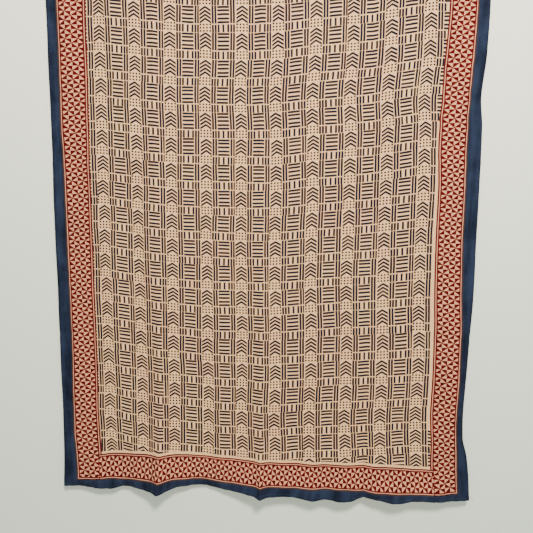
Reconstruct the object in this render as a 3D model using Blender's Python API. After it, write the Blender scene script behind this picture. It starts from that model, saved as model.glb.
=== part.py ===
"""A block printed cotton sarong as it hangs from its top edge, in metres with +Z up.

The cloth is one flat rectangle of plain cotton. It hangs by its top edge, whose middle is
the origin. X runs across it, its printed front faces -Y and it falls along -Z. Up high it
is almost flat. Lower down it stands off what is behind it in soft waves, sharpened by
three creases from being stored folded in four, and its stitched hem and its right edge
turn back here and there.
"""

from math import radians

import bpy
import numpy as np

# Driving sizes
HUNG_WIDTH = 1.09
DROP = 1.80
SHEET = 0.0015

# How the waves grow: a steady share down the cloth, and the rest close to the hem
STEADY_SHARE = 0.20
STAND_OFF_AT_HEM = 0.004
UNEVEN_HEIGHT = 0.60

# The strip along the hem and the one along the right edge that can turn back
HEM_BAND = 0.024
EDGE_BAND = 0.031
BEND_LENGTH = 0.010
LEAST_TURN = radians(0.1)

# Where the inset of the right edge begins, and how wide the lifted strip beside it is
INSET_FROM = 0.85
LIFT_WIDTH = 0.10

# Rows and columns of the grid
BODY_ROWS = 24
ROW_CROWDING = 1.8
BAND_ROWS = 4
COLUMN_STEP = 0.0145
EDGE_COLUMNS = 5

# The waves along the hem, from the left edge, one row for each crest, dip or shoulder:
# how far across, how far forward, the height over which that dies away by a factor of e,
# how much longer than the drop, how far the hem turns back
HEM_COLUMNS = ("across", "forward", "reach", "longer", "turn_degrees")
HEM_WAVES = (
    (0.000, 0.012, 0.060, 0.005, 10),
    (0.040, 0.010, 0.060, 0.009, 46),
    (0.130, 0.024, 0.060, 0.006, 12),
    (0.165, 0.010, 0.060, 0.008, 52),
    (0.220, 0.028, 0.100, 0.002, 22),
    (0.267, 0.040, 0.100, 0.000, 0),
    (0.320, 0.017, 0.080, -0.003, 36),
    (0.385, 0.007, 0.050, 0.002, 52),
    (0.425, 0.012, 0.050, 0.006, 44),
    (0.480, 0.026, 0.050, 0.004, 20),
    (0.538, 0.035, 0.050, 0.008, 0),
    (0.612, 0.030, 0.050, 0.011, 20),
    (0.680, 0.037, 0.040, 0.017, 0),
    (0.712, 0.031, 0.040, 0.014, 10),
    (0.760, 0.040, 0.040, 0.016, 0),
    (0.812, 0.034, 0.050, 0.016, 55),
    (0.848, 0.036, 0.050, 0.016, 50),
    (0.888, 0.044, 0.050, 0.016, 22),
    (0.950, 0.034, 0.050, 0.015, 40),
    (1.010, 0.030, 0.050, 0.016, 36),
    (1.090, 0.022, 0.050, 0.014, 6),
)

# The storage creases: how far across, how deep under the top edge and at the hem
# (forward is positive), and the width over which each one dies away
CREASE_COLUMNS = ("across", "depth_high", "depth_at_hem", "fade_width")
CREASES = (
    (0.267, 0.007, 0.021, 0.017),
    (0.538, 0.006, 0.022, 0.012),
    (0.812, -0.006, -0.010, 0.018),
)
CREASE_ROUNDING = 0.003
CREASE_REACH = 0.075
CREASE_STARTS_OVER = 0.30

# The right edge, from the top: how far down, how far in from straight, how far its band
# turns back, how far it stands forward there
EDGE_COLUMN_NAMES = ("down", "inset", "turn_degrees", "forward")
RIGHT_EDGE = (
    (0.00, 0.000, 0, 0.000),
    (0.54, 0.001, 0, 0.000),
    (0.67, 0.003, 0, 0.000),
    (0.78, 0.012, 4, 0.000),
    (0.85, 0.007, 0, 0.000),
    (0.97, 0.007, 0, 0.000),
    (1.15, 0.009, 0, 0.000),
    (1.27, 0.009, 6, 0.002),
    (1.37, 0.008, 30, 0.006),
    (1.48, 0.006, 52, 0.012),
    (1.58, 0.006, 64, 0.014),
    (1.64, 0.005, 60, 0.012),
    (1.69, 0.001, 36, 0.006),
    (1.75, -0.001, 18, 0.002),
    (1.80, 0.000, 8, 0.000),
)


def column(table, names, name):
    """One named column of a table as an array."""
    place = names.index(name)
    return np.array([row[place] for row in table], dtype=float)


def flowing(places, stations, values):
    """Values of the smooth curve through the stations that never overshoots them.

    Between two stations it is the cubic with given slopes at both ends. A slope is the
    harmonic mean of the runs on its two sides, and nothing at a crest or a dip.
    """
    gaps = np.diff(stations)
    runs = np.diff(values) / gaps
    before = runs[:-1]
    after = runs[1:]
    same_way = before * after > 0
    total = np.where(same_way, before + after, 1.0)
    inner = np.where(same_way, 2 * before * after / total, 0.0)
    slopes = np.concatenate(([0.0], inner, [0.0]))
    left = np.clip(np.searchsorted(stations, places, side="right") - 1, 0, len(gaps) - 1)
    gap = gaps[left]
    share = np.clip((places - stations[left]) / gap, 0.0, 1.0)
    start = (1 + 2 * share) * (1 - share) ** 2 * values[left]
    end = share**2 * (3 - 2 * share) * values[left + 1]
    leaving = share * (1 - share) ** 2 * gap * slopes[left]
    arriving = share**2 * (share - 1) * gap * slopes[left + 1]
    return start + end + leaving + arriving


def eased(places, start, length):
    """Rises softly from 0 at start to 1 after the length."""
    share = np.clip((places - start) / length, 0.0, 1.0)
    return share * share * (3 - 2 * share)


def turned_strip(distance, turn):
    """How far along and how far back a strip goes that bends by the turn, then runs on.

    The bend is a circular arc of fixed length, and what is left of the strip is straight.
    """
    turn = np.maximum(turn, LEAST_TURN)
    radius = BEND_LENGTH / turn
    angle = turn * np.clip(distance / BEND_LENGTH, 0.0, 1.0)
    rest = np.maximum(distance - BEND_LENGTH, 0.0)
    along = radius * np.sin(angle) + rest * np.cos(turn)
    back = radius * (1 - np.cos(angle)) + rest * np.sin(turn)
    return along, back


def across_places():
    """Columns of the grid: even steps between the creases, then the right edge's band."""
    body_end = HUNG_WIDTH - EDGE_BAND
    creases = column(CREASES, CREASE_COLUMNS, "across")
    marks = [0.0, *creases, body_end, HUNG_WIDTH]
    counts = [round((b - a) / COLUMN_STEP) for a, b in zip(marks[:-2], marks[1:-1])]
    counts.append(EDGE_COLUMNS)
    pieces = [np.linspace(a, b, n, endpoint=False) for a, b, n in zip(marks, marks[1:], counts)]
    return np.concatenate([*pieces, [HUNG_WIDTH]])


def down_places():
    """Rows of the grid, crowded towards the hem, then the hem's band."""
    body_end = DROP - HEM_BAND
    share = np.linspace(0.0, 1.0, BODY_ROWS)
    body = body_end * (1 - (1 - share) ** ROW_CROWDING)
    band = np.linspace(body_end, DROP, BAND_ROWS + 1)
    return np.concatenate([body, band[1:]])


def hem_curve(across, name):
    """One column of the hem's waves, as a smooth curve across the cloth."""
    stations = column(HEM_WAVES, HEM_COLUMNS, "across")
    return flowing(across, stations, column(HEM_WAVES, HEM_COLUMNS, name))


def edge_curve(down, name):
    """One column of the right edge's table, as a smooth curve down the cloth."""
    stations = column(RIGHT_EDGE, EDGE_COLUMN_NAMES, "down")
    return flowing(down, stations, column(RIGHT_EDGE, EDGE_COLUMN_NAMES, name))


def forward_of_flat(across, down):
    """How far the cloth stands forward: waves that grow downwards, and the creases.

    Each wave is steady in part, and the rest of it dies away above the hem over its own
    reach. Where the hem turns back, the cloth above it stands that much further forward.
    """
    turned_back = turned_strip(HEM_BAND, radians(1) * hem_curve(across, "turn_degrees"))[1]
    wave = hem_curve(across, "forward") + turned_back
    steady = STEADY_SHARE * down / DROP
    flare = (1 - STEADY_SHARE) * np.exp((down - DROP) / hem_curve(across, "reach"))
    forward = wave * (steady + flare) + STAND_OFF_AT_HEM * down / DROP
    starts = eased(down, 0.0, CREASE_STARTS_OVER)
    for place, depth_high, depth_at_hem, fade_width in CREASES:
        off = np.hypot(across - place, CREASE_ROUNDING) - CREASE_ROUNDING
        deeper = (depth_at_hem - depth_high) * np.exp((down - DROP) / CREASE_REACH)
        forward = forward + starts * (depth_high + deeper) * np.exp(-off / fade_width)
    return forward


def cloth_points(across, down):
    """Points of the hanging cloth for places across and down its outline."""
    edge_start = HUNG_WIDTH - EDGE_BAND
    past_edge_start = np.maximum(across - edge_start, 0.0)
    edge_turn = radians(1) * edge_curve(down, "turn_degrees")
    edge_along, edge_back = turned_strip(past_edge_start, edge_turn)
    hem_start = DROP - HEM_BAND
    past_hem_start = np.maximum(down - hem_start, 0.0)
    hem_turn = radians(1) * hem_curve(across, "turn_degrees")
    hem_along, hem_back = turned_strip(past_hem_start, hem_turn)

    inset = edge_curve(down, "inset") * eased(across, INSET_FROM, edge_start - INSET_FROM)
    lift = edge_curve(down, "forward") * eased(across, edge_start - LIFT_WIDTH, LIFT_WIDTH)
    uneven = hem_curve(across, "longer") * eased(down, DROP - UNEVEN_HEIGHT, UNEVEN_HEIGHT)

    x = np.minimum(across, edge_start) + edge_along - inset - HUNG_WIDTH / 2
    y = edge_back + hem_back - forward_of_flat(across, down) - lift
    z = -(np.minimum(down, hem_start) + hem_along + uneven)
    return np.stack([x, y, z], axis=-1)


def cloth_sheet(name):
    """The cloth as one grid of faces whose front looks along -Y, thickened both ways."""
    across, down = np.meshgrid(across_places(), down_places())
    points = cloth_points(across, down)
    rows, columns = across.shape
    number = np.arange(rows * columns).reshape(rows, columns)
    corners = (number[:-1, :-1], number[1:, :-1], number[1:, 1:], number[:-1, 1:])
    faces = np.stack(corners, axis=-1).reshape(-1, 4)
    mesh = bpy.data.meshes.new(name)
    mesh.from_pydata(points.reshape(-1, 3).tolist(), [], faces.tolist())
    mesh.shade_smooth()
    cloth = bpy.data.objects.new(name, mesh)
    bpy.context.scene.collection.objects.link(cloth)
    thick = cloth.modifiers.new("Cloth thickness", "SOLIDIFY")
    thick.thickness = SHEET
    thick.offset = 0.0
    return cloth


def cotton():
    """Unbleached cotton with a dark print, as one even colour."""
    material = bpy.data.materials.new("printed cotton")
    material.use_nodes = True
    shader = material.node_tree.nodes["Principled BSDF"]
    shader.inputs["Base Color"].default_value = (0.42, 0.30, 0.21, 1.0)
    shader.inputs["Roughness"].default_value = 0.85
    shader.inputs["Metallic"].default_value = 0.0
    return material


for leftover in list(bpy.data.objects):
    bpy.data.objects.remove(leftover)

sarong_cloth = cloth_sheet("sarong_cloth")
sarong_cloth.data.materials.append(cotton())
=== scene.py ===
# %% [markdown]
# A block printed cotton sarong, hung by its top edge.
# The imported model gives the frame: one body that carries the cloth, and one plain solid of it.
# This lesson dresses that solid. It makes a thin cloth on the same folds, works out where each
# impression of the printing blocks falls, and dyes it with node materials.

# %% Load the frame
from math import radians

import bpy
import numpy as np
from mathutils import Matrix, Vector


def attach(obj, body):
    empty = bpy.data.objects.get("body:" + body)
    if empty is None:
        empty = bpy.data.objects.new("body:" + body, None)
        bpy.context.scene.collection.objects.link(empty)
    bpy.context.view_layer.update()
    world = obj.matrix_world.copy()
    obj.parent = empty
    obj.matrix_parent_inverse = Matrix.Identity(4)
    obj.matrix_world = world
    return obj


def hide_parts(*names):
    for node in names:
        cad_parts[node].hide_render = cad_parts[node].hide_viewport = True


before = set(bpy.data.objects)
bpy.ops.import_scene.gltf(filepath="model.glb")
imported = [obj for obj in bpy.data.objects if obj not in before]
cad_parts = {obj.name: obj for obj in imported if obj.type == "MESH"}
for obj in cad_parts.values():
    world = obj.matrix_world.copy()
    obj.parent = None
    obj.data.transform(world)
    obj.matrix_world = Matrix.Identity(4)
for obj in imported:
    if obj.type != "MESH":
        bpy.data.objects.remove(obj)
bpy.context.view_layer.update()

# %% [markdown]
# The camera stands where the photographer stood: about 1.4 m in front of the cloth, a little
# right of its middle, looking slightly down at its lower two thirds. Its three axes are
# worked out from yaw, pitch and roll, because that keeps each angle readable.

# %% Camera
PHOTO_WIDTH_PX = 533
FOCAL_PX = 540.0
SENSOR_MM = 36.0
CAMERA_PLACE = Vector((0.0717, -1.3877, -1.0339))
CAMERA_YAW = 0.0466
CAMERA_PITCH = 0.1176
CAMERA_ROLL = 0.0023


def placed(name, data):
    """A new object with the data, linked into the scene."""
    made = bpy.data.objects.new(name, data)
    bpy.context.scene.collection.objects.link(made)
    return made


def camera_axes(yaw, pitch, roll):
    """Right, up and forward of a camera that turns left by yaw, dips by pitch, then rolls."""
    forward = Vector((-np.sin(yaw) * np.cos(pitch), np.cos(yaw) * np.cos(pitch), -np.sin(pitch)))
    level = Vector((np.cos(yaw), np.sin(yaw), 0.0))
    upright = level.cross(forward)
    right = level * np.cos(roll) + upright * np.sin(roll)
    up = upright * np.cos(roll) - level * np.sin(roll)
    return right, up, forward


camera_data = bpy.data.cameras.new("photo_camera")
camera_data.sensor_width = SENSOR_MM
camera_data.lens = SENSOR_MM * FOCAL_PX / PHOTO_WIDTH_PX
camera = placed("photo_camera", camera_data)
right, up, forward = camera_axes(CAMERA_YAW, CAMERA_PITCH, CAMERA_ROLL)
camera.matrix_world = Matrix.Translation(CAMERA_PLACE) @ Matrix((right, up, -forward)).transposed().to_4x4()
bpy.context.scene.camera = camera
print("lens mm", round(camera_data.lens, 2))

# %% [markdown]
# A hanging cloth is flat where its top edge holds it and free at its hem. Its waves grow
# downwards, three storage creases run the whole height, and the hem and the right edge turn
# back here and there. The solid was built with the same tables, so the cloth follows it.

# %% Sizes of the hanging cloth
CUT_WIDTH = 1.10
HUNG_WIDTH = 1.09
DROP = 1.80
STEADY_SHARE = 0.20
STAND_OFF_AT_HEM = 0.004
UNEVEN_HEIGHT = 0.60
HEM_BAND = 0.024
EDGE_BAND = 0.031
BEND_LENGTH = 0.010
LEAST_TURN = radians(0.1)
INSET_FROM = 0.85
LIFT_WIDTH = 0.10

HEM_COLUMNS = ("across", "forward", "reach", "longer", "turn_degrees")
HEM_WAVES = (
    (0.000, 0.012, 0.060, 0.005, 10),
    (0.040, 0.010, 0.060, 0.009, 46),
    (0.130, 0.024, 0.060, 0.006, 12),
    (0.165, 0.010, 0.060, 0.008, 52),
    (0.220, 0.028, 0.100, 0.002, 22),
    (0.267, 0.040, 0.100, 0.000, 0),
    (0.320, 0.017, 0.080, -0.003, 36),
    (0.385, 0.007, 0.050, 0.002, 52),
    (0.425, 0.012, 0.050, 0.006, 44),
    (0.480, 0.026, 0.050, 0.004, 20),
    (0.538, 0.035, 0.050, 0.008, 0),
    (0.612, 0.030, 0.050, 0.011, 20),
    (0.680, 0.037, 0.040, 0.017, 0),
    (0.712, 0.031, 0.040, 0.014, 10),
    (0.760, 0.040, 0.040, 0.016, 0),
    (0.812, 0.034, 0.050, 0.016, 55),
    (0.848, 0.036, 0.050, 0.016, 50),
    (0.888, 0.044, 0.050, 0.016, 22),
    (0.950, 0.034, 0.050, 0.015, 40),
    (1.010, 0.030, 0.050, 0.016, 36),
    (1.090, 0.022, 0.050, 0.014, 6),
)

CREASE_COLUMNS = ("across", "depth_high", "depth_at_hem", "fade_width")
CREASES = (
    (0.267, 0.007, 0.021, 0.017),
    (0.538, 0.006, 0.022, 0.012),
    (0.812, -0.006, -0.010, 0.018),
)
CREASE_ROUNDING = 0.003
CREASE_REACH = 0.075
CREASE_STARTS_OVER = 0.30

EDGE_COLUMN_NAMES = ("down", "inset", "turn_degrees", "forward")
RIGHT_EDGE = (
    (0.00, 0.000, 0, 0.000),
    (0.54, 0.001, 0, 0.000),
    (0.67, 0.003, 0, 0.000),
    (0.78, 0.012, 4, 0.000),
    (0.85, 0.007, 0, 0.000),
    (0.97, 0.007, 0, 0.000),
    (1.15, 0.009, 0, 0.000),
    (1.27, 0.009, 6, 0.002),
    (1.37, 0.008, 30, 0.006),
    (1.48, 0.006, 52, 0.012),
    (1.58, 0.006, 64, 0.014),
    (1.64, 0.005, 60, 0.012),
    (1.69, 0.001, 36, 0.006),
    (1.75, -0.001, 18, 0.002),
    (1.80, 0.000, 8, 0.000),
)
print("waves at the hem", len(HEM_WAVES), "creases", len(CREASES))


# %% [markdown]
# A table gives a value at a few places only. Between them the value follows cubics whose
# slopes come from the table too, so the curve is smooth and never overshoots. A strip that
# turns back bends along an arc of fixed length, and what is left of it runs on straight.

# %% Smooth curves through the tables
def column(table, names, name):
    """One named column of a table as an array."""
    place = names.index(name)
    return np.array([row[place] for row in table], dtype=float)


def flowing(places, stations, values):
    """Values of the smooth curve through the stations that never overshoots them.

    Between two stations it is the cubic with given slopes at both ends. A slope is the
    harmonic mean of the runs on its two sides, and nothing at a crest or a dip.
    """
    gaps = np.diff(stations)
    runs = np.diff(values) / gaps
    before = runs[:-1]
    after = runs[1:]
    same_way = before * after > 0
    total = np.where(same_way, before + after, 1.0)
    inner = np.where(same_way, 2 * before * after / total, 0.0)
    slopes = np.concatenate(([0.0], inner, [0.0]))
    left = np.clip(np.searchsorted(stations, places, side="right") - 1, 0, len(gaps) - 1)
    gap = gaps[left]
    share = np.clip((places - stations[left]) / gap, 0.0, 1.0)
    start = (1 + 2 * share) * (1 - share) ** 2 * values[left]
    end = share**2 * (3 - 2 * share) * values[left + 1]
    leaving = share * (1 - share) ** 2 * gap * slopes[left]
    arriving = share**2 * (share - 1) * gap * slopes[left + 1]
    return start + end + leaving + arriving


def eased(places, start, length):
    """Rises softly from 0 at start to 1 after the length."""
    share = np.clip((places - start) / length, 0.0, 1.0)
    return share * share * (3 - 2 * share)


def table_curve(table, names, name, places):
    """Smooth curve through one column of a table whose first column gives the stations."""
    return flowing(places, column(table, names, names[0]), column(table, names, name))


def hem_curve(across, name):
    """One column of the hem's waves, as a smooth curve across the cloth."""
    return table_curve(HEM_WAVES, HEM_COLUMNS, name, across)


def edge_curve(down, name):
    """One column of the right edge's table, as a smooth curve down the cloth."""
    return table_curve(RIGHT_EDGE, EDGE_COLUMN_NAMES, name, down)


def turned_strip(distance, turn):
    """How far along and how far back a strip goes that bends by the turn, then runs on."""
    turn = np.maximum(turn, LEAST_TURN)
    radius = BEND_LENGTH / turn
    angle = turn * np.clip(distance / BEND_LENGTH, 0.0, 1.0)
    rest = np.maximum(distance - BEND_LENGTH, 0.0)
    along = radius * np.sin(angle) + rest * np.cos(turn)
    back = radius * (1 - np.cos(angle)) + rest * np.sin(turn)
    return along, back


print("drop at the middle crease", round(float(hem_curve(np.array([0.538]), "longer")[0]) + DROP, 3))

# %% [markdown]
# Thin cotton is never quite smooth. Faint level lines cross it where it was folded the other
# way, long shallow ripples wander down it, and the sewn hem draws it into small puckers.
# Sums of a few sine waves at odd lengths give that cheaply, and the same on every run.

# %% Fine ripples and puckers
# Level folds: how far down, depth, half width
LEVEL_FOLDS = (
    (0.470, 0.0010, 0.007),
    (0.938, 0.0020, 0.006),
    (1.378, -0.0022, 0.007),
)
# Ripples: length across, length down, phase, height
RIPPLES = (
    (0.230, 1.90, 0.4, 0.0014),
    (0.131, -1.10, 2.1, 0.0012),
    (0.083, 0.70, 4.0, 0.0009),
    (0.310, 0.35, 1.2, 0.0008),
    (0.057, -0.41, 5.3, 0.0006),
    (0.170, -0.16, 3.3, 0.0005),
)
# Puckers: length across, phase, height
PUCKERS = ((0.021, 0.3, 0.0005), (0.034, 2.2, 0.0006), (0.0135, 4.4, 0.0003))
PUCKER_REACH = 0.018
RIPPLES_START_OVER = 0.35


def fine_relief(across, down):
    """Small heights to add: level folds as soft ridges, ripples and the hem's puckers as sines."""
    relief = np.zeros_like(across)
    for place, depth, half_width in LEVEL_FOLDS:
        relief = relief + depth * np.exp(-(((down - place) / half_width) ** 2))
    ripples = np.zeros_like(across)
    for across_length, down_length, phase, height in RIPPLES:
        cycles = across / across_length + down / down_length
        ripples = ripples + height * np.sin(2 * np.pi * cycles + phase)
    relief = relief + ripples * eased(down, 0.0, RIPPLES_START_OVER)
    sewn = np.exp((down - DROP) / PUCKER_REACH)
    for across_length, phase, height in PUCKERS:
        relief = relief + sewn * height * np.sin(2 * np.pi * across / across_length + phase)
    return relief


# %% [markdown]
# Each point of the surface starts from its place across and down. The turned edge and hem
# move it along and back, waves and creases bring it forward, and the inset of the right
# edge and the uneven length move the outline.

# %% The hanging surface
def forward_of_flat(across, down):
    """How far the cloth stands forward: waves that grow downwards, and the creases."""
    turned_back = turned_strip(HEM_BAND, radians(1) * hem_curve(across, "turn_degrees"))[1]
    wave = hem_curve(across, "forward") + turned_back
    steady = STEADY_SHARE * down / DROP
    flare = (1 - STEADY_SHARE) * np.exp((down - DROP) / hem_curve(across, "reach"))
    forward = wave * (steady + flare) + STAND_OFF_AT_HEM * down / DROP
    starts = eased(down, 0.0, CREASE_STARTS_OVER)
    for place, depth_high, depth_at_hem, fade_width in CREASES:
        off = np.hypot(across - place, CREASE_ROUNDING) - CREASE_ROUNDING
        deeper = (depth_at_hem - depth_high) * np.exp((down - DROP) / CREASE_REACH)
        forward = forward + starts * (depth_high + deeper) * np.exp(-off / fade_width)
    return forward


def hanging_points(across, down):
    """Middle of the hanging cloth: its main folds, then the fine relief on them."""
    edge_start = HUNG_WIDTH - EDGE_BAND
    edge_turn = radians(1) * edge_curve(down, "turn_degrees")
    edge_along, edge_back = turned_strip(np.maximum(across - edge_start, 0.0), edge_turn)
    hem_start = DROP - HEM_BAND
    hem_turn = radians(1) * hem_curve(across, "turn_degrees")
    hem_along, hem_back = turned_strip(np.maximum(down - hem_start, 0.0), hem_turn)
    inset = edge_curve(down, "inset") * eased(across, INSET_FROM, edge_start - INSET_FROM)
    lift = edge_curve(down, "forward") * eased(across, edge_start - LIFT_WIDTH, LIFT_WIDTH)
    uneven = hem_curve(across, "longer") * eased(down, DROP - UNEVEN_HEIGHT, UNEVEN_HEIGHT)
    x = np.minimum(across, edge_start) + edge_along - inset - HUNG_WIDTH / 2
    y = edge_back + hem_back - forward_of_flat(across, down) - lift - fine_relief(across, down)
    z = -(np.minimum(down, hem_start) + hem_along + uneven)
    return np.stack([x, y, z], axis=-1)


# %% [markdown]
# The grid has more columns where a crease or the curled edge needs them and more rows near
# the hem. Crowding is done with one running sum: where the wanted density is high, the sum
# climbs fast, and even steps of the sum fall close together.

# %% Where the grid's lines go
GRID_COLUMNS = 206
GRID_ROWS = 222
CREASE_CROWDING = 2.2
CREASE_CROWDING_WIDTH = 0.014
EDGE_CROWDING = 1.2
HEM_CROWDING = 1.6
HEM_CROWDING_HEIGHT = 0.10
HEM_FOLD_CROWDING = 2.0
HEM_FOLD_HEIGHT = 0.012
SAMPLES = 6000


def crowded_places(length, density_at, count):
    """Even steps of the running sum of a density, from 0 to the length."""
    fine = np.linspace(0.0, length, SAMPLES)
    density = density_at(fine)
    run = np.concatenate(([0.0], np.cumsum((density[1:] + density[:-1]) / 2)))
    return np.interp(np.linspace(0.0, run[-1], count), run, fine)


def column_density(across):
    """One, plus a hump at each crease and at the right edge."""
    density = np.ones_like(across)
    for place in column(CREASES, CREASE_COLUMNS, "across"):
        density = density + CREASE_CROWDING * np.exp(-(((across - place) / CREASE_CROWDING_WIDTH) ** 2))
    return density + EDGE_CROWDING * np.exp((across - HUNG_WIDTH) / EDGE_BAND)


def row_density(down):
    """One, more towards the hem, and more again at the folded strip's start and end."""
    start_of_fold = ((down - DROP + HEM_BAND) / HEM_FOLD_HEIGHT) ** 2
    end_of_fold = ((down - DROP) / HEM_FOLD_HEIGHT) ** 2
    fold = HEM_FOLD_CROWDING * (np.exp(-start_of_fold) + np.exp(-end_of_fold))
    return 1 + HEM_CROWDING * np.exp((down - DROP) / HEM_CROWDING_HEIGHT) + fold


across_lines = crowded_places(HUNG_WIDTH, column_density, GRID_COLUMNS)
down_lines = crowded_places(DROP, row_density, GRID_ROWS)
ACROSS, DOWN = np.meshgrid(across_lines, down_lines)
MIDDLE = hanging_points(ACROSS, DOWN)
print("grid", ACROSS.shape, "finest column mm", round(float(np.diff(across_lines).min()) * 1000, 2))

# %% [markdown]
# A print lies flat on the cloth before the cloth is hung. So every point needs its place on
# the flat cloth: how far it is from the left edge measured along the cloth, each row scaled
# to the cut width, and how far down. A UV map carries that pair in metres.

# %% Places on the flat cloth
def flat_across(points):
    """Running length along each row of the grid, scaled so that the row ends at the cut width."""
    step = np.hypot(np.diff(points[..., 0], axis=1), np.diff(points[..., 1], axis=1))
    run = np.concatenate([np.zeros((len(points), 1)), np.cumsum(step, axis=1)], axis=1)
    return CUT_WIDTH * run / run[:, -1:]


FLAT_X = 1000 * flat_across(MIDDLE)
FLAT_Y = 1000 * DOWN
print("flat size mm", round(float(FLAT_X.max())), round(float(FLAT_Y.max())))

# %% [markdown]
# Hand block printing drifts. The printer sets each impression by eye beside the last, so the
# rows of the field climb a little towards both sides, and the columns aren't quite even.
# These short tables say, in millimetres on the flat cloth, where columns and rows lie.

# %% Drift of the printed field
COLUMN_PITCH = 92.0
ROW_PITCH = 64.2
CHEVRON_COLUMNS = (134.5, 223.5, 314.0, 404.5, 494.8, 585.2, 678.8, 772.5, 865.5, 959.5, 1052.0)
FIRST_ROW_DOWN = 621.5
ROW_DRIFT_NAMES = ("across", "high", "middle", "lower", "low")
ROW_DRIFT = (
    (134.5, -24.5, -26.5, -39.4, -51.0),
    (223.5, -14.5, -15.0, -21.0, -28.0),
    (314.0, -5.5, -6.0, -9.0, -11.0),
    (404.5, -1.5, -3.0, -2.0, -7.0),
    (494.8, 0.0, 0.0, 0.0, 0.0),
    (585.2, -1.5, 0.0, -1.0, 0.0),
    (678.8, -10.0, -11.0, -9.5, -15.0),
    (772.5, -17.0, -18.0, -17.0, -20.0),
    (865.5, -28.5, -28.0, -20.0, -30.0),
    (959.5, -44.5, -42.0, -27.0, -38.0),
)
DRIFT_STATIONS = (621.0, 943.0, 1455.0, 1713.0)


def drift_of_rows(flat_x, flat_y):
    """How far the field's rows lie below straight ones: table across, blended downwards."""
    stations, *charted = [column(ROW_DRIFT, ROW_DRIFT_NAMES, name) for name in ROW_DRIFT_NAMES]
    drifts = [np.interp(flat_x, stations, values) for values in charted]
    drift = drifts[0]
    for above, below, start, stop in zip(drifts, drifts[1:], DRIFT_STATIONS, DRIFT_STATIONS[1:]):
        drift = drift + (below - above) * np.clip((flat_y - start) / (stop - start), 0, 1)
    return drift


def field_places(flat_x, flat_y):
    """Places in the field's own columns and rows: chevron tops fall on whole pitches of both."""
    x = np.interp(flat_x, CHEVRON_COLUMNS, COLUMN_PITCH * np.arange(len(CHEVRON_COLUMNS)))
    x = x + np.minimum(flat_x - CHEVRON_COLUMNS[0], 0.0) + np.maximum(flat_x - CHEVRON_COLUMNS[-1], 0.0)
    y = flat_y - FIRST_ROW_DOWN - drift_of_rows(flat_x, flat_y)
    return x, y


FIELD_X, FIELD_Y = field_places(FLAT_X, FLAT_Y)
print("rows of impressions", round(float(FIELD_Y.max() - FIELD_Y.min()) / ROW_PITCH, 1))

# %% [markdown]
# A place in the border is a share: 0 on its outer line and 1 on its inner line. Both lines
# wander, so each is a smooth curve through a table. The top border is straight.

# %% Lines of the border
SIDE_LINE_NAMES = ("down", "left_outer", "left_inner", "right_inner", "right_outer")
SIDE_LINES = (
    (0, 24.0, 101.0, 1002.0, 1073.0),
    (560, 24.0, 101.0, 1003.0, 1074.0),
    (700, 24.5, 101.5, 997.5, 1073.0),
    (740, 24.5, 102.0, 1001.0, 1075.5),
    (780, 24.0, 101.5, 1002.0, 1076.5),
    (830, 23.0, 101.0, 995.0, 1069.0),
    (900, 25.5, 101.5, 993.5, 1067.0),
    (1000, 27.0, 101.5, 996.5, 1068.0),
    (1200, 28.0, 101.5, 997.0, 1069.0),
    (1360, 31.5, 102.0, 997.5, 1070.0),
    (1400, 32.0, 102.5, 997.5, 1069.5),
    (1560, 29.5, 102.5, 996.5, 1068.0),
    (1640, 30.0, 104.5, 998.5, 1067.0),
    (1700, 34.5, 107.0, 994.5, 1067.5),
    (1770, 37.5, 109.0, 994.5, 1070.0),
    (1800, 38.0, 110.0, 994.5, 1071.0),
)
END_LINE_NAMES = ("across", "bottom_inner", "bottom_outer")
END_LINES = (
    (0, 1706.0, 1775.0),
    (100, 1706.0, 1775.0),
    (165, 1701.5, 1773.0),
    (240, 1704.5, 1777.0),
    (320, 1707.0, 1776.5),
    (400, 1709.0, 1775.0),
    (430, 1708.0, 1775.5),
    (500, 1713.5, 1780.0),
    (600, 1713.0, 1778.5),
    (700, 1711.5, 1777.5),
    (800, 1711.0, 1777.0),
    (900, 1712.5, 1780.0),
    (960, 1714.5, 1780.0),
    (1000, 1715.0, 1779.5),
    (1060, 1715.0, 1781.5),
    (1100, 1715.0, 1782.0),
)
TOP_OUTER = 24.0
TOP_INNER = 96.0


def share_between(places, outer, inner):
    """0 on the border's outer line and 1 on its inner line."""
    return (places - outer) / (inner - outer)


side = {name: table_curve(SIDE_LINES, SIDE_LINE_NAMES, name, FLAT_Y) for name in SIDE_LINE_NAMES[1:]}
end = {name: table_curve(END_LINES, END_LINE_NAMES, name, FLAT_X) for name in END_LINE_NAMES[1:]}
BORDER_LEFT = share_between(FLAT_X, side["left_outer"], side["left_inner"])
BORDER_RIGHT = share_between(FLAT_X, side["right_outer"], side["right_inner"])
BORDER_BOTTOM = share_between(FLAT_Y, end["bottom_outer"], end["bottom_inner"])
BORDER_TOP = share_between(FLAT_Y, TOP_OUTER, TOP_INNER)
print("left border width mm", round(float((side["left_inner"] - side["left_outer"]).mean()), 1))

# %% [markdown]
# The cloth becomes a closed mesh: front and back are half a millimetre apart and joined round
# the rim. The hem is folded over twice, so its last centimetre is three layers thick. Each
# point is moved along the surface's normal, which is the cross product of its two tangents.

# %% Build the cloth
CLOTH_HALF_THICKNESS = 0.00028
HEM_FOLD_WIDTH = 0.009
HEM_EXTRA_HALF = 0.00045
FOLD_EDGE_WIDTH = 0.0016
SELVEDGE_WIDTH = 0.004
SELVEDGE_EXTRA_HALF = 0.00012


def unit(vectors):
    """Vectors divided by their own lengths."""
    return vectors / np.linalg.norm(vectors, axis=-1, keepdims=True)


def surface_normals(points):
    """Unit normals of a grid of points: the cross product of its down and across tangents."""
    return unit(np.cross(np.gradient(points, axis=0), np.gradient(points, axis=1)))


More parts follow.
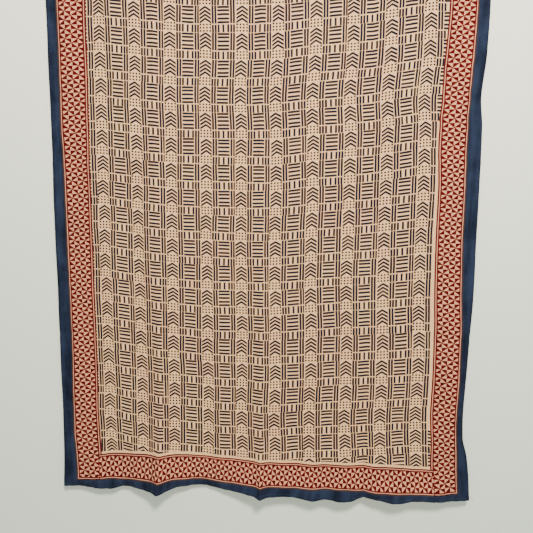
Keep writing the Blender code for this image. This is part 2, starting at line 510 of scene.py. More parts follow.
def half_thickness(across, down):
    """Half the cloth's thickness: even, with a step up at the folded hem and the selvedge."""
    hem = HEM_EXTRA_HALF * eased(down, DROP - HEM_FOLD_WIDTH - FOLD_EDGE_WIDTH, FOLD_EDGE_WIDTH)
    from_side = np.minimum(across, HUNG_WIDTH - across)
    selvedge = SELVEDGE_EXTRA_HALF * (1 - eased(from_side, 0.0, SELVEDGE_WIDTH))
    return CLOTH_HALF_THICKNESS + np.maximum(hem, selvedge)


def closed_sheet_faces(rows, columns):
    """Quads of the front grid, of the back grid turned round, and of the rim between them."""
    front = np.arange(rows * columns).reshape(rows, columns)
    back = front + rows * columns
    front_quads = np.stack([front[:-1, :-1], front[1:, :-1], front[1:, 1:], front[:-1, 1:]], axis=-1)
    back_quads = np.stack([back[:-1, :-1], back[:-1, 1:], back[1:, 1:], back[1:, :-1]], axis=-1)
    loop = np.concatenate([front[:-1, 0], front[-1, :-1], front[:0:-1, -1], front[0, :0:-1]])
    following = np.roll(loop, -1)
    rim = np.stack([following, loop, loop + rows * columns, following + rows * columns], axis=-1)
    return np.concatenate([front_quads.reshape(-1, 4), back_quads.reshape(-1, 4), rim])


def quad_mesh(name, points, quads):
    """A mesh from arrays of points and quads."""
    mesh = bpy.data.meshes.new(name)
    mesh.vertices.add(len(points))
    mesh.vertices.foreach_set("co", points.astype(np.float32).ravel())
    mesh.loops.add(quads.size)
    mesh.loops.foreach_set("vertex_index", quads.astype(np.int32).ravel())
    mesh.polygons.add(len(quads))
    mesh.polygons.foreach_set("loop_start", np.arange(0, quads.size, 4, dtype=np.int32))
    mesh.update(calc_edges=True)
    mesh.validate()
    mesh.shade_smooth()
    return mesh


NORMALS = surface_normals(MIDDLE)
HALF = half_thickness(ACROSS, DOWN)[..., None]
front_points = (MIDDLE + NORMALS * HALF).reshape(-1, 3)
back_points = (MIDDLE - NORMALS * HALF).reshape(-1, 3)
cloth_points = np.concatenate([front_points, back_points])
cloth_mesh = quad_mesh("printed_cloth", cloth_points, closed_sheet_faces(*ACROSS.shape))
printed_cloth = placed("printed_cloth", cloth_mesh)
print("front looks along", np.round(NORMALS.mean(axis=(0, 1)), 2), "faces", len(cloth_mesh.polygons))


# %% [markdown]
# The material reads these places from the mesh: the flat place from a UV map, the others
# from vector attributes. The field's third number is one on the front, nothing on the back.

# %% Carry the flat places on the mesh
def both_sides(values):
    """The same values for the front's points and for the back's."""
    return np.concatenate([values.reshape(-1), values.reshape(-1)]).astype(np.float32)


def point_vector(mesh, name, *parts):
    """A vector attribute on the points, with zeros where fewer than three parts are given."""
    full = np.zeros((len(mesh.vertices), 3), dtype=np.float32)
    for place, part in enumerate(parts):
        full[:, place] = part
    mesh.attributes.new(name, "FLOAT_VECTOR", "POINT").data.foreach_set("vector", full.ravel())


def corner_uv(mesh, name, u, v):
    """A UV map that gives each corner its point's pair of values."""
    corner = np.empty(len(mesh.loops), dtype=np.int32)
    mesh.loops.foreach_get("vertex_index", corner)
    pairs = np.stack([u[corner], v[corner]], axis=-1).astype(np.float32)
    mesh.uv_layers.new(name=name).data.foreach_set("uv", pairs.ravel())


on_front = np.concatenate([np.ones(ACROSS.size), np.zeros(ACROSS.size)])
corner_uv(cloth_mesh, "cloth", both_sides(FLAT_X) / 1000, both_sides(FLAT_Y) / 1000)
point_vector(cloth_mesh, "field_place", both_sides(FIELD_X), both_sides(FIELD_Y), on_front)
point_vector(cloth_mesh, "border_sides", both_sides(BORDER_LEFT), both_sides(BORDER_RIGHT))
point_vector(cloth_mesh, "border_ends", both_sides(BORDER_BOTTOM), both_sides(BORDER_TOP))
print("attributes", [a.name for a in cloth_mesh.attributes if not a.name.startswith(".")])

# %% [markdown]
# The print is drawn with node maths. Each motif is a depth: how many millimetres a point lies
# inside the stroke, and less than nothing outside it. The smaller of two depths is where both
# hold, and the larger where either does. A little noise gives the uneven edge of real dye.

# %% Node helpers
class Maths:
    """Adds nodes to one material and returns their outputs, so formulas read as calls."""

    def __init__(self, material):
        """Keeps the material's node tree."""
        self.tree = material.node_tree

    def feed(self, socket, value):
        """Links an output into a socket, or sets a plain value on it."""
        if isinstance(value, bpy.types.NodeSocket):
            self.tree.links.new(value, socket)
        else:
            socket.default_value = value

    def node(self, kind, inputs=None, **settings):
        """A new node: its settings are made, then its inputs are fed by name or number."""
        made = self.tree.nodes.new(kind)
        for name, value in settings.items():
            setattr(made, name, value)
        for name, value in (inputs or {}).items():
            self.feed(made.inputs[name], value)
        return made

    def do(self, operation, *values):
        """One Math node."""
        made = self.node("ShaderNodeMath", dict(enumerate(values)), operation=operation)
        return made.outputs[0]

    def add(self, a, b):
        """The first plus the second."""
        return self.do("ADD", a, b)

    def less(self, a, b):
        """The first less the second."""
        return self.do("SUBTRACT", a, b)

    def times(self, a, b):
        """The first times the second."""
        return self.do("MULTIPLY", a, b)

    def size(self, a):
        """The value without its sign."""
        return self.do("ABSOLUTE", a)

    def both(self, *depths):
        """Inside all of them: the smallest depth."""
        result = depths[0]
        for depth in depths[1:]:
            result = self.do("MINIMUM", result, depth)
        return result

    def either(self, *depths):
        """Inside any of them: the largest depth."""
        result = depths[0]
        for depth in depths[1:]:
            result = self.do("MAXIMUM", result, depth)
        return result

    def within(self, value, centre, half):
        """Depth inside a band of the given half width about a centre."""
        return self.less(half, self.size(self.less(value, centre)))

    def nearest(self, value, pitch):
        """Distance from the nearest whole multiple of the pitch."""
        shares = self.add(self.do("DIVIDE", value, pitch), 0.5)
        return self.times(self.size(self.less(self.do("FRACT", shares), 0.5)), pitch)

    def shade(self, depth, softness):
        """Turns a depth into cover: 0 outside, 1 inside, soft over twice the softness."""
        inputs = {"Value": depth, "From Min": -softness, "From Max": softness}
        made = self.node("ShaderNodeMapRange", inputs, interpolation_type="SMOOTHSTEP")
        return made.outputs["Result"]

    def noise(self, vector, scale, detail=2.0, roughness=0.5, stretch=None):
        """Noise about nothing, roughly from -1 to 1."""
        if stretch is not None:
            mapped = self.node("ShaderNodeMapping", {"Vector": vector, "Scale": stretch})
            vector = mapped.outputs["Vector"]
        inputs = {"Vector": vector, "Scale": scale, "Detail": detail, "Roughness": roughness}
        made = self.node("ShaderNodeTexNoise", inputs)
        return self.times(self.less(made.outputs["Fac"], 0.5), 2.0)

    def split(self, vector):
        """The three parts of a vector."""
        made = self.node("ShaderNodeSeparateXYZ", {"Vector": vector})
        return made.outputs["X"], made.outputs["Y"], made.outputs["Z"]

    def join(self, x, y, z=0.0):
        """A vector from three parts."""
        return self.node("ShaderNodeCombineXYZ", {"X": x, "Y": y, "Z": z}).outputs["Vector"]

    def mix(self, share, first, second):
        """Mixes two colours: a share of 0 gives the first, 1 the second."""
        made = self.node("ShaderNodeMix", {"Factor": share, 6: first, 7: second}, data_type="RGBA")
        return made.outputs[2]

    def attribute(self, name):
        """A vector attribute of the mesh."""
        return self.node("ShaderNodeAttribute", attribute_name=name).outputs["Vector"]


def plain_material(name, roughness):
    """A material with only a Principled shader on its output."""
    material = bpy.data.materials.new(name)
    material.use_nodes = True
    shader = material.node_tree.nodes["Principled BSDF"]
    shader.inputs["Roughness"].default_value = roughness
    return material, shader


cotton, cotton_shader = plain_material("printed_cotton", roughness=0.88)
m = Maths(cotton)

# %% [markdown]
# First the block's own unevenness. The field is cut into impressions, each one repeat wide and
# one repeat tall. White noise on an impression's number shifts it by about a millimetre, turns
# it by about a degree and makes its ink fuller or thinner, as a hand does.

# %% Impressions of the field block
# Millimetres on the flat cloth, and the turn in radians
IMPRESSION_START = 16.5
IMPRESSION_TOP = 2.5
IMPRESSION_SEED = 3.0
SHIFT_ACROSS = 2.4
SHIFT_DOWN = 1.6
TURN = 0.045
TURNS_ABOUT = 30.0
WANDER = 0.55


def either_way(chance, amount):
    """A chance from 0 to 1 becomes a value up to half the amount either way."""
    return m.times(m.less(chance, 0.5), amount)


uv = m.node("ShaderNodeUVMap", uv_map="cloth").outputs["UV"]
field_x, field_y, front = m.split(m.attribute("field_place"))
wander_x = m.times(m.noise(uv, scale=55.0, detail=1.0), WANDER)
wander_y = m.times(m.noise(m.join(field_y, field_x), scale=0.055, detail=1.0), WANDER)
loose_x = m.add(field_x, wander_x)
loose_y = m.add(field_y, wander_y)
column_number = m.do("FLOOR", m.do("DIVIDE", m.add(loose_x, IMPRESSION_START), COLUMN_PITCH))
row_number = m.do("FLOOR", m.do("DIVIDE", m.add(loose_y, IMPRESSION_TOP), ROW_PITCH))
impression = m.join(column_number, row_number, IMPRESSION_SEED)
chances = m.node("ShaderNodeTexWhiteNoise", {"Vector": impression}, noise_dimensions="3D")
chance_x, chance_y, chance_turn = m.split(chances.outputs["Color"])
in_x = m.less(loose_x, m.times(column_number, COLUMN_PITCH))
in_y = m.less(loose_y, m.times(row_number, ROW_PITCH))
turn = either_way(chance_turn, TURN)
block_x = m.add(in_x, m.add(either_way(chance_x, SHIFT_ACROSS), m.times(in_y, turn)))
lifted_y = m.times(m.less(in_x, TURNS_ABOUT), turn)
block_y = m.less(m.add(in_y, either_way(chance_y, SHIFT_DOWN)), lifted_y)
print("one impression", COLUMN_PITCH, "x", ROW_PITCH, "mm")

# %% [markdown]
# The field's block has two columns: chevrons over a patch of dots, and level bars over three
# upright ones, with a double line of broken strokes between them. Distances from the chevrons'
# middle and from the bars' middle are folded, so each half is drawn once.

# %% Motifs of the field block
CHEVRON_PITCH = 9.25
CHEVRON_COUNT = 4
CHEVRON_SLOPE = 0.64
CHEVRON_HALF_WIDTH = 13.7
CHEVRON_HALF_STROKE = 1.95
DOT_ROWS = (42.0, 49.3, 56.8)
DOT_PITCH = 8.2
DOT_RADIUS = 1.50
DOTS_HALF_WIDTH = 15.2
BAR_ROWS = (1.3, 9.0, 18.4, 28.6, 37.2)
BAR_HALF_WIDTH = 14.2
STROKE_HALF = 1.70
UPRIGHT_OFFSET = 12.3
PAIR_FROM_BARS = 23.4
PAIR_HALF_GAP = 3.5
# Upright strokes: how far down the middle is, and half the length
LONG_STROKES = (18.6, 20.4)
SHORT_STROKES = (51.8, 8.4)

from_chevron = m.size(block_x)
from_bars = m.size(m.less(block_x, COLUMN_PITCH / 2))

climbed = m.less(block_y, m.times(from_chevron, CHEVRON_SLOPE))
chevrons = m.both(
    m.less(CHEVRON_HALF_STROKE, m.nearest(climbed, CHEVRON_PITCH)),
    m.within(climbed, CHEVRON_PITCH * (CHEVRON_COUNT - 1) / 2, CHEVRON_PITCH * CHEVRON_COUNT / 2),
    m.less(CHEVRON_HALF_WIDTH, from_chevron),
)
dot_row = m.either(*[m.within(block_y, place, DOT_RADIUS) for place in DOT_ROWS])
dot_column = m.nearest(m.add(block_x, DOT_PITCH / 2), DOT_PITCH)
off_row = m.less(DOT_RADIUS, dot_row)
dot_distance = m.do("SQRT", m.add(m.times(dot_column, dot_column), m.times(off_row, off_row)))
dots = m.both(m.less(DOT_RADIUS, dot_distance), m.less(DOTS_HALF_WIDTH, from_chevron))

bar_rows = m.either(*[m.within(block_y, place, STROKE_HALF) for place in BAR_ROWS])
bars = m.both(bar_rows, m.less(BAR_HALF_WIDTH, from_bars))
uprights = m.both(
    m.either(m.less(STROKE_HALF, from_bars), m.within(from_bars, UPRIGHT_OFFSET, STROKE_HALF)),
    m.within(block_y, *SHORT_STROKES),
)
from_pair = m.size(m.less(m.size(m.less(from_bars, PAIR_FROM_BARS)), PAIR_HALF_GAP))
stroke_spans = m.either(m.within(block_y, *LONG_STROKES), m.within(block_y, *SHORT_STROKES))
double_lines = m.both(m.less(STROKE_HALF, from_pair), stroke_spans)
field_depth = m.either(chevrons, dots, bars, uprights, double_lines)

# %% [markdown]
# The border is a lattice of small right-angled triangles in four strips. Along a strip the
# triangles come in pairs, base down and base up, and each is halved: one half red, one left
# bare. Folding the distance along the strip draws all of them with a single triangle.

# %% Lattice of the border block
LATTICE_PITCH = 22.0
STRIPS = 4
STRIP_WIDTH = 16.1
LATTICE_START = 0.085
LATTICE_END = 0.905
SLANT = 0.826
TRIANGLE_INSET = -0.70
CORNER_CUT = 0.105
BORDER_WANDER = 0.009
ALONG_WANDER = 0.7
BORDER_WIDTH = 78.0
# Where the triangles start along each side, and a whole count that keeps them above nothing
LEFT_PHASE = 759.0
RIGHT_PHASE = 750.0
BOTTOM_PHASE = 8.0
WHOLE_PAIRS = 100


def chosen(switch, when_off, when_on):
    """One value or the other, by a switch that is 0 or 1."""
    return m.add(m.times(m.less(1.0, switch), when_off), m.times(switch, when_on))


left_share, right_share, _ = m.split(m.attribute("border_sides"))
bottom_share, top_share, _ = m.split(m.attribute("border_ends"))
in_mm = m.node("ShaderNodeVectorMath", {0: uv, "Scale": 1000.0}, operation="SCALE")
flat_x, flat_y, _ = m.split(in_mm.outputs["Vector"])

side_share = m.do("MINIMUM", left_share, right_share)
end_share = m.do("MINIMUM", bottom_share, top_share)
in_end = m.do("LESS_THAN", end_share, 1.0)
is_end = m.do("GREATER_THAN", side_share, m.less(1.0, m.times(in_end, CORNER_CUT)))
is_right = m.do("LESS_THAN", right_share, left_share)

border_wander = m.times(m.noise(uv, scale=38.0), BORDER_WANDER)
border_share = m.add(chosen(is_end, side_share, end_share), border_wander)
from_left = chosen(is_right, border_share, m.less(1.0, border_share))
lattice_from = chosen(is_end, from_left, m.less(1.0, border_share))
along_side = m.less(flat_y, chosen(is_right, LEFT_PHASE, RIGHT_PHASE))
along_end = m.less(BOTTOM_PHASE, flat_x)
along_wander = m.times(m.noise(uv, scale=30.0, detail=1.0), ALONG_WANDER)
along = m.add(chosen(is_end, along_side, along_end), along_wander)

lattice_width = LATTICE_END - LATTICE_START
lattice_middle = (LATTICE_START + LATTICE_END) / 2
lattice_share = m.do("DIVIDE", m.less(lattice_from, 1 - LATTICE_END), lattice_width)
in_strips = m.times(lattice_share, STRIPS)
strip = m.do("FLOOR", in_strips)
height = m.less(in_strips, strip)
odd_strip = m.do("MODULO", strip, 2.0)
half_steps = m.add(WHOLE_PAIRS + 0.5, m.times(odd_strip, 0.5))
along_share = m.do("FRACT", m.add(m.do("DIVIDE", along, LATTICE_PITCH), half_steps))
facing = chosen(odd_strip, along_share, m.less(1.0, along_share))
upper = m.do("GREATER_THAN", facing, 0.5)
folded = m.times(m.do("FRACT", m.times(facing, 2.0)), 0.5)
folded_height = chosen(upper, height, m.less(1.0, height))
to_altitude = m.times(m.less(0.5, folded), LATTICE_PITCH)
to_base = m.times(folded_height, STRIP_WIDTH)
to_slant = m.times(m.less(folded, m.times(folded_height, 0.5)), LATTICE_PITCH * SLANT)
triangles = m.less(m.both(to_altitude, to_base, to_slant), TRIANGLE_INSET)
inside_lattice = m.within(border_share, lattice_middle, lattice_width / 2)
triangle_depth = m.both(triangles, m.times(inside_lattice, BORDER_WIDTH))

# %% [markdown]
# Iron black, madder red and indigo lie one over another on pale buff cotton, and the colours
# are mixed in that order. The field's black comes first. A depth becomes cover, and its
# density changes from impression to impression and within each.

# %% Ink of the field
BUFF = (0.78, 0.505, 0.238, 1.0)
BUFF_PINK = (0.74, 0.415, 0.232, 1.0)
SLUB_BROWN = (0.50, 0.34, 0.20, 1.0)
IRON = (0.012, 0.010, 0.017, 1.0)
DOT_BROWN = (0.022, 0.011, 0.012, 1.0)
DYE_SPREAD = 0.95
EDGE_NOISE = 0.38
INK_EDGE = 0.30
FULL_INK = 1.03
INK_BY_IMPRESSION = 0.05
INK_BY_PATCH = 0.12
INK_GRAIN = 0.04
CLEAR_FROM = 1.09
END_BORDER_WIDTH = 70.0
GROUND_SOFTNESS = 0.8
SLUB_TINT = 0.12
DOT_BROWNNESS = 0.8
# Right of the last double line, rows 4 to 15 print nothing more
LAST_PAIR_ENDS = 857.5
STUBLESS_MIDDLE = 9.5
STUBLESS_REACH = 5.6

edge_noise = m.noise(uv, scale=420.0, roughness=0.6)
ink_depth = m.add(m.add(field_depth, DYE_SPREAD), m.times(edge_noise, EDGE_NOISE))
patchy = m.noise(uv, scale=26.0, detail=3.0, roughness=0.6)
unevenness = m.add(either_way(chance_x, INK_BY_IMPRESSION), m.times(patchy, INK_BY_PATCH))
grainy = m.add(1.0, m.times(m.noise(uv, scale=700.0, detail=1.0), INK_GRAIN))
density = m.do("MINIMUM", m.times(m.add(FULL_INK, unevenness), grainy), 1.0)
clear_of_ends = m.shade(m.times(m.less(end_share, CLEAR_FROM), END_BORDER_WIDTH), 1.0)
beside_last_pair = m.either(
    m.do("LESS_THAN", field_x, LAST_PAIR_ENDS),
    m.do("GREATER_THAN", m.size(m.less(row_number, STUBLESS_MIDDLE)), STUBLESS_REACH),
)
where_printed = m.times(clear_of_ends, beside_last_pair)
field_ink = m.times(m.times(m.shade(ink_depth, INK_EDGE), density), where_printed)

ground_tone = m.shade(m.noise(uv, scale=9.0, detail=3.0, roughness=0.6), GROUND_SOFTNESS)
ground = m.mix(ground_tone, BUFF, BUFF_PINK)
slub = m.noise(uv, scale=60.0, stretch=(1.0, 14.0, 1.0))
ground = m.mix(m.times(m.add(0.5, m.times(slub, 0.5)), SLUB_TINT), ground, SLUB_BROWN)
is_dot = m.shade(dots, INK_EDGE)
field_colour = m.mix(field_ink, ground, m.mix(m.times(is_dot, DOT_BROWNNESS), IRON, DOT_BROWN))

# %% [markdown]
# The border's madder red is the lattice on its pinkish wash and the lines beside it. The outer
# lines run round the corners with the cloth's rim, and the inner ones frame the field. Each
# line is a band between two shares of the border's width.

# %% Red of the border
PALE_LINE = (0.66, 0.30, 0.20, 1.0)
LATTICE_WASH = (0.60, 0.25, 0.155, 1.0)
MADDER = (0.105, 0.0026, 0.0032, 1.0)
MADDER_DARK = (0.045, 0.0016, 0.0020, 1.0)
OUTER_PALE = (0.052, 0.082)
OUTER_RED = (0.078, 0.126)
INNER_RED = (0.866, 0.918)
INNER_PALE = (0.916, 0.948)
LAST_RED = (0.944, 1.006)
BAND_SOFTNESS = 0.006
RED_MOTTLE = 0.4
RED_SOFTNESS = 0.9
RED_BY_PATCH = 0.10
LATTICE_EDGE_NOISE = 0.42
LATTICE_EDGE = 0.35
WASH_COVER = 0.75
PALE_COVER = 0.9
RED_COVER = 0.97
LAST_RED_COVER = 0.99
FIELD_FROM = 0.999
FIELD_SOFTNESS = 0.004


def border_band(share, band):
    """Cover of a band: the depth inside its first and last share, made soft."""
    first, last = band
    return m.shade(m.within(share, (first + last) / 2, (last - first) / 2), BAND_SOFTNESS)


rim_share = m.add(m.do("MINIMUM", side_share, end_share), border_wander)
red_tone = m.shade(m.add(patchy, m.times(edge_noise, RED_MOTTLE)), RED_SOFTNESS)
red = m.mix(red_tone, MADDER, MADDER_DARK)
red_cover = m.shade(m.add(triangle_depth, m.times(edge_noise, LATTICE_EDGE_NOISE)), LATTICE_EDGE)
red_cover = m.times(red_cover, m.do("MINIMUM", m.add(FULL_INK, m.times(patchy, RED_BY_PATCH)), 1.0))
border_colour = m.mix(red_cover, m.mix(WASH_COVER, ground, LATTICE_WASH), red)
pale = m.either(border_band(rim_share, OUTER_PALE), border_band(border_share, INNER_PALE))
border_colour = m.mix(m.times(pale, PALE_COVER), border_colour, PALE_LINE)
red_lines = m.either(border_band(rim_share, OUTER_RED), border_band(border_share, INNER_RED))
border_colour = m.mix(m.times(red_lines, RED_COVER), border_colour, red)
last_line = m.times(border_band(border_share, LAST_RED), LAST_RED_COVER)
border_colour = m.mix(last_line, border_colour, red)
in_border = m.shade(m.less(FIELD_FROM, border_share), FIELD_SOFTNESS)
printed = m.mix(in_border, field_colour, border_colour)

# %% [markdown]
# Indigo comes last, along the rim. Its tone is streaked and clouded and its inner edge
# wanders. Where it runs over the outer red line it turns almost black.

# %% Indigo band
INDIGO = (0.0210, 0.0305, 0.0600, 1.0)
INDIGO_DARK = (0.0062, 0.0088, 0.0185, 1.0)
OVERLAP = (0.010, 0.004, 0.006, 1.0)
STREAKINESS = 1.1
CLOUDINESS = 0.9
TONE_SOFTNESS = 0.65
DYE_EDGE_NOISE = 0.25
OVERLAP_COVER = 0.93

streaks = m.noise(uv, scale=42.0, detail=3.0, roughness=0.6, stretch=(1.0, 0.09, 1.0))
clouds = m.noise(uv, scale=14.0, detail=3.0, roughness=0.6)
band_tone = m.add(m.times(streaks, STREAKINESS), m.times(clouds, CLOUDINESS))
indigo = m.mix(m.shade(band_tone, TONE_SOFTNESS), INDIGO, INDIGO_DARK)
dye_edge = m.add(m.noise(uv, scale=24.0), m.times(edge_noise, DYE_EDGE_NOISE))


def dyed_to(share, wander, softness):
    """Cover from the rim to a share of the border's width, moved by the dye's own edge."""
    return m.shade(m.less(m.add(share, m.times(dye_edge, wander)), rim_share), softness)


band_cover = dyed_to(share=0.006, wander=0.010, softness=0.006)
overlap_cover = dyed_to(share=0.056, wander=0.014, softness=0.007)
printed = m.mix(m.times(overlap_cover, OVERLAP_COVER), printed, OVERLAP)
printed = m.mix(band_cover, printed, indigo)

# %% [markdown]
# Block printing soaks only part of the way through. The back shows the same print, paler and
# softer, and the dip dyed indigo nearly as strong. The attribute that is one on the front
# tells the material which side it is on.

# %% Front and back
BACK_VEIL = (0.62, 0.43, 0.25, 1.0)
PRINT_VEIL = 0.30
DIP_VEIL = 0.04
veil_share = m.less(PRINT_VEIL, m.times(band_cover, PRINT_VEIL - DIP_VEIL))
seen_from_back = m.mix(veil_share, printed, BACK_VEIL)
cloth_colour = m.mix(front, seen_from_back, printed)
m.feed(cotton_shader.inputs["Base Color"], cloth_colour)

# %% [markdown]
# Plain weave shows close up as a fine grain with thicker threads here and there. Two stretched
# noises, one for each set of threads, and a third for soft dents push a bump that stays under
# a millimetre.

# %% Weave
THREAD_SCALE = 900.0
THREAD_STRETCH = 0.12
DENT_STRENGTH = 2.5
BUMP_STRENGTH = 0.35
BUMP_DISTANCE = 0.0006

warp = m.noise(uv, scale=THREAD_SCALE, detail=1.0, stretch=(1.0, THREAD_STRETCH, 1.0))
weft = m.noise(uv, scale=THREAD_SCALE, detail=1.0, stretch=(THREAD_STRETCH, 1.0, 1.0))
soft_dents = m.noise(uv, scale=75.0, detail=3.0, roughness=0.55)
relief = m.add(m.add(warp, weft), m.times(soft_dents, DENT_STRENGTH))
bump_inputs = {"Strength": BUMP_STRENGTH, "Distance": BUMP_DISTANCE, "Height": relief}
bump = m.node("ShaderNodeBump", bump_inputs)
m.feed(cotton_shader.inputs["Normal"], bump.outputs["Normal"])
cotton_shader.inputs["Specular IOR Level"].default_value = 0.06
cloth_mesh.materials.append(cotton)
print("nodes in the print", len(cotton.node_tree.nodes))

# %% [markdown]
# Small stitches hold the hem a few millimetres above its edge. Each one is a small spindle
# of thread: one grid of points, long along the hem and round across it, repeated for all
# stitches at once by adding an axis to the array.

# %% Hem stitches
STITCH_PITCH = 0.0036
STITCH_LENGTH = 0.0027
STITCH_RADIUS = 0.00030
STITCH_ABOVE_HEM = 0.0068
STITCH_FROM_SIDE = 0.006
STITCH_RAISED = 0.4
BLUNT_END = 0.02
RINGS = 5
SPOKES = 6


def tube_quads(rings, copies):
    """Quads of six sided tubes, all copies numbered one after another, two quads on each end."""
    ring = np.arange(rings - 1)[:, None] * SPOKES
    spoke = np.arange(SPOKES)[None, :]
    here = ring + spoke
    following = ring + (spoke + 1) % SPOKES
    quads = np.stack([here, following, following + SPOKES, here + SPOKES], axis=-1)
    start_cap = np.array([(3, 2, 1, 0), (0, 5, 4, 3)])
    end_cap = np.array([(0, 1, 2, 3), (0, 3, 4, 5)]) + (rings - 1) * SPOKES
    one_tube = np.concatenate([quads.reshape(-1, 4), start_cap, end_cap])
    offsets = np.arange(copies)[:, None, None] * rings * SPOKES
    return (one_tube[None] + offsets).reshape(-1, 4)


def rings_round(line, along, outward, radius):
    """Points round each point of a line: cosines of the angle outward, sines sideways."""
    angle = np.linspace(0.0, 2 * np.pi, SPOKES, endpoint=False)[:, None]
    sideways = np.cross(along, outward)
    ring = np.cos(angle) * outward[..., None, :] + np.sin(angle) * sideways[..., None, :]
    return (line[..., None, :] + radius[..., None, None] * ring).reshape(-1, 3)


def spindles(starts, ends, outward):
    """Points of stitches between starts and ends: the radius follows a half ellipse."""
    share = np.linspace(0.0, 1.0, RINGS)
    swell = np.sqrt(np.clip(1 - (2 * share - 1) ** 2, BLUNT_END, 1.0))
    line = (ends - starts)[:, None]
    outward = outward[:, None]
    middle = starts[:, None] + line * share[:, None]
    lifted = middle + outward * STITCH_RADIUS * STITCH_RAISED
    return rings_round(lifted, unit(line), outward, STITCH_RADIUS * swell)


def on_cloth(across, down, side):
    """Points on the cloth's front (side 1) or back (side -1), and the way out of it there."""
    step = 0.0005
    middle = hanging_points(across, down)
    to_right = hanging_points(across + step, down) - middle
    downwards = hanging_points(across, down + step) - middle
    outward = side * unit(np.cross(downwards, to_right))
    return middle + outward * half_thickness(across, down)[:, None], outward


stitch_starts = np.arange(STITCH_FROM_SIDE, HUNG_WIDTH - STITCH_FROM_SIDE, STITCH_PITCH)
sewn_at = np.full_like(stitch_starts, DROP - STITCH_ABOVE_HEM)
stitch_points = []
for side_of_cloth in (1, -1):
    starts, outward = on_cloth(stitch_starts, sewn_at, side_of_cloth)
    ends, _ = on_cloth(stitch_starts + STITCH_LENGTH, sewn_at, side_of_cloth)
    stitch_points.append(spindles(starts, ends, outward))
stitch_points = np.concatenate(stitch_points)
stitch_quads = tube_quads(RINGS, 2 * len(stitch_starts))
print("stitches", 2 * len(stitch_starts))

# %% [markdown]
# The seam ends at the lower right corner, where its thread was cut long. The tail is one more
# tube of the same kind along a short curl, so it joins the stitches' mesh.

# %% Thread tail
TAIL_RINGS = 14
TAIL_FROM_SIDE = 0.002
TAIL_REACH = 0.013
TAIL_FORWARD = 0.002
TAIL_FALL = 0.007
TAIL_CURL = 0.003
TAIL_CURL_TURN = 4
THREAD_BLUE = (0.028, 0.040, 0.075, 1.0)

tail_share = np.linspace(0.0, 1.0, TAIL_RINGS)
corner, _ = on_cloth(np.array([HUNG_WIDTH - TAIL_FROM_SIDE]), np.array([DROP - STITCH_ABOVE_HEM]), 1)
tail_z = TAIL_CURL * np.sin(TAIL_CURL_TURN * tail_share) - TAIL_FALL * tail_share**2
tail_way = np.stack([TAIL_REACH * tail_share, -TAIL_FORWARD * tail_share, tail_z], axis=-1)
tail_line = corner + tail_way
tail_along = unit(np.gradient(tail_line, axis=0))
tail_out = np.tile([0.0, -1.0, 0.0], (TAIL_RINGS, 1))
tail_points = rings_round(tail_line, tail_along, tail_out, np.full(TAIL_RINGS, STITCH_RADIUS))
thread_points = np.concatenate([stitch_points, tail_points])
thread_quads = np.concatenate([stitch_quads, tube_quads(TAIL_RINGS, 1) + len(stitch_points)])
stitch_mesh = quad_mesh("hem_stitches", thread_points, thread_quads)
hem_stitches = placed("hem_stitches", stitch_mesh)
thread, thread_shader = plain_material("sewing_thread", roughness=0.7)
thread_shader.inputs["Base Color"].default_value = THREAD_BLUE
stitch_mesh.materials.append(thread)
print("thread faces", len(stitch_mesh.polygons))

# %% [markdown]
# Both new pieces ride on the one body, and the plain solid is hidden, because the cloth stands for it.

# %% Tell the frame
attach(printed_cloth, "root")
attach(hem_stitches, "root")
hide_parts("sarong_cloth")

# %% [markdown]
# The stage is a pale floor, and a pale screen just behind the cloth that takes the soft shadow
# under the hem. The screen is seen from its front only and blocks no light, so the cloth's
# back can be looked at and is lit as well as its front.

# %% Stage
FLOOR_HEIGHT = -2.15
STAGE_HALF = 6.0
SCREEN_BEHIND = 0.006
FLOOR_COLOUR = (0.74, 0.73, 0.69, 1.0)
# The screen's colour holds painted light: darker and cooler low down, brighter and warmer high up, where
# the lamp falls stronger.
SCREEN_PAINTED_SHADE_LOW = (0.70, 0.78, 0.66, 1.0)
SCREEN_PAINTED_LIGHT_HIGH = (0.98, 0.96, 0.84, 1.0)
PAINTED_LIGHT_PER_METRE = 0.55
PAINTED_LIGHT_AT_TOP = 1.05


def stage_square(name, corners, material):
    """One flat square of the stage."""
    mesh = bpy.data.meshes.new(name)
    mesh.from_pydata(corners, [], [(0, 1, 2, 3)])
    mesh.materials.append(material)
    made = placed(name, mesh)
    return made


floor_material, floor_shader = plain_material("pale_floor", roughness=0.9)
floor_shader.inputs["Base Color"].default_value = FLOOR_COLOUR
wide = STAGE_HALF
ground_plan = ((-wide, -wide), (wide, -wide), (wide, wide), (-wide, wide))
floor_corners = [(x, y, FLOOR_HEIGHT) for x, y in ground_plan]
stage_square("stage_floor", floor_corners, floor_material)

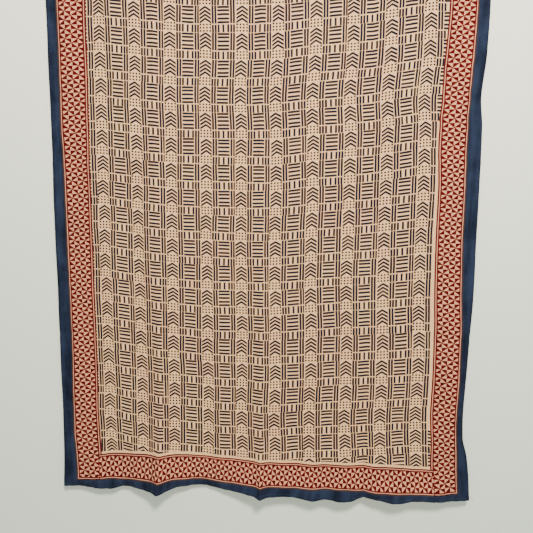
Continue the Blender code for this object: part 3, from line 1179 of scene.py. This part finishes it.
screen_material, screen_shader = plain_material("pale_screen", roughness=0.95)
s = Maths(screen_material)
screen_height = s.split(s.node("ShaderNodeTexCoord").outputs["Object"])[2]
# Painted light: the screen's colour brightens with height, standing in for the lamp's falloff.
painted_light_rise = s.do("MULTIPLY_ADD", screen_height, PAINTED_LIGHT_PER_METRE, PAINTED_LIGHT_AT_TOP)
painted_light_rise.node.use_clamp = True
s.feed(screen_shader.inputs["Base Color"], s.mix(painted_light_rise, SCREEN_PAINTED_SHADE_LOW, SCREEN_PAINTED_LIGHT_HIGH))
from_behind = s.node("ShaderNodeNewGeometry").outputs["Backfacing"]
clear = s.node("ShaderNodeBsdfTransparent").outputs[0]
one_sided = s.node("ShaderNodeMixShader", {0: from_behind, 1: screen_shader.outputs[0], 2: clear})
s.feed(screen_material.node_tree.nodes["Material Output"].inputs["Surface"], one_sided.outputs[0])
screen_plan = ((-wide, FLOOR_HEIGHT), (wide, FLOOR_HEIGHT), (wide, wide), (-wide, wide))
screen_corners = [(x, SCREEN_BEHIND, z) for x, z in screen_plan]
screen = stage_square("stage_screen", screen_corners, screen_material)
screen.visible_shadow = False
screen.visible_diffuse = False
screen.visible_glossy = False

# %% [markdown]
# In the photograph the light comes from in front of the cloth and above it, slightly warm,
# with cooler light filling the shadows. One lamp and a pale blue world give that, and a weaker
# and wider lamp behind keeps the back readable.

# %% Light
WORLD_COLOUR = (0.76, 0.88, 0.92, 1.0)
WORLD_STRENGTH = 0.62


def area_lamp(name, place, target, size, power, colour):
    """A square lamp at a place, turned to face a target."""
    data = bpy.data.lights.new(name, "AREA")
    data.size = size
    data.energy = power
    data.color = colour
    lamp = placed(name, data)
    lamp.location = place
    lamp.rotation_euler = (Vector(target) - Vector(place)).to_track_quat("-Z", "Y").to_euler()


KEY_PLACE = (0.40, -1.95, 0.38)
KEY_TARGET = (0.05, 0.0, -0.90)
BACK_PLACE = (0.6, 2.6, 0.8)
BACK_TARGET = (0.0, 0.0, -1.0)
area_lamp("key_lamp", KEY_PLACE, KEY_TARGET, size=0.42, power=124.0, colour=(1.0, 0.93, 0.85))
area_lamp("back_lamp", BACK_PLACE, BACK_TARGET, size=1.6, power=60.0, colour=(1.0, 0.97, 0.94))
print("world strength", WORLD_STRENGTH)
world = bpy.data.worlds.new("pale_world")
world.use_nodes = True
world.node_tree.nodes["Background"].inputs["Color"].default_value = WORLD_COLOUR
world.node_tree.nodes["Background"].inputs["Strength"].default_value = WORLD_STRENGTH
bpy.context.scene.world = world
